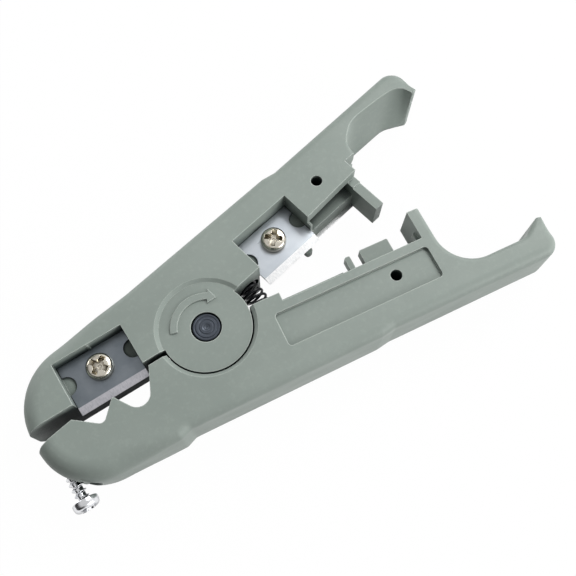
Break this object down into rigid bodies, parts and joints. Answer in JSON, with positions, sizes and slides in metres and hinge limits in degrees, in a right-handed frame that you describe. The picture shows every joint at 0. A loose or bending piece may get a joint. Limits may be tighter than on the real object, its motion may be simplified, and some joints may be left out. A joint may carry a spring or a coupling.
{
  "type": "coaxial cable stripper",
  "caption": "Hand-held stripper for coaxial cable: two crossed plastic arms on one pivot, sprung shut, with a stripping blade, a cutting blade and a depth screw.",
  "frame": {"origin": "where the axis of the pivot pin meets the plane that the tool's back faces rest on", "axes": "+Z along the pivot axis, from the back face to the face that the picture shows; +X along the lower arm from the pivot towards its finger hook, so the jaws point to -X; +Y towards the upper arm"},
  "size_m": [0.127, 0.0673, 0.015],
  "materials": {
    "moulded_plastic": "fine satin grain, grey with a green tinge",
    "dark_steel": "blackened steel, fine turned rings",
    "black_spring_steel": "black oiled spring wire",
    "blackened_blade_steel": "dark hardened blade with a bright ground edge",
    "blade_steel": "pale ground blade steel",
    "nickel_screw": "nickel-plated, warm grey",
    "zinc_screw": "bright zinc plating"
  },
  "bodies": {
    "lower_arm": {"lower_arm": "moulded_plastic", "pivot_pin": "dark_steel", "return_spring": "black_spring_steel", "lower_flat_blade": "blade_steel", "lower_flat_screw": "nickel_screw"},
    "upper_arm": {"upper_arm": "moulded_plastic", "strip_blade": "blackened_blade_steel", "strip_blade_screw": "nickel_screw", "cut_blade": "blade_steel", "cut_blade_screw": "nickel_screw", "upper_flat_blade": "blade_steel", "upper_flat_screw": "nickel_screw"},
    "depth_screw": {"depth_screw": "zinc_screw"}
  },
  "joints": [
    {"name": "arm_pivot", "type": "hinge", "parent": "lower_arm", "child": "upper_arm", "pos_m": [0, 0, 0], "axis": [0, 0, 1], "range_deg": [-19, 0], "stiffness_Nm_per_rad": 1.9, "springref_deg": 9.74, "deforming": ["return_spring"]},
    {"name": "depth_adjust", "type": "slide", "parent": "lower_arm", "child": "depth_screw", "axis": [0.1271, -0.9919, 0], "range_m": [-0.0025, 0.002]}
  ]
}
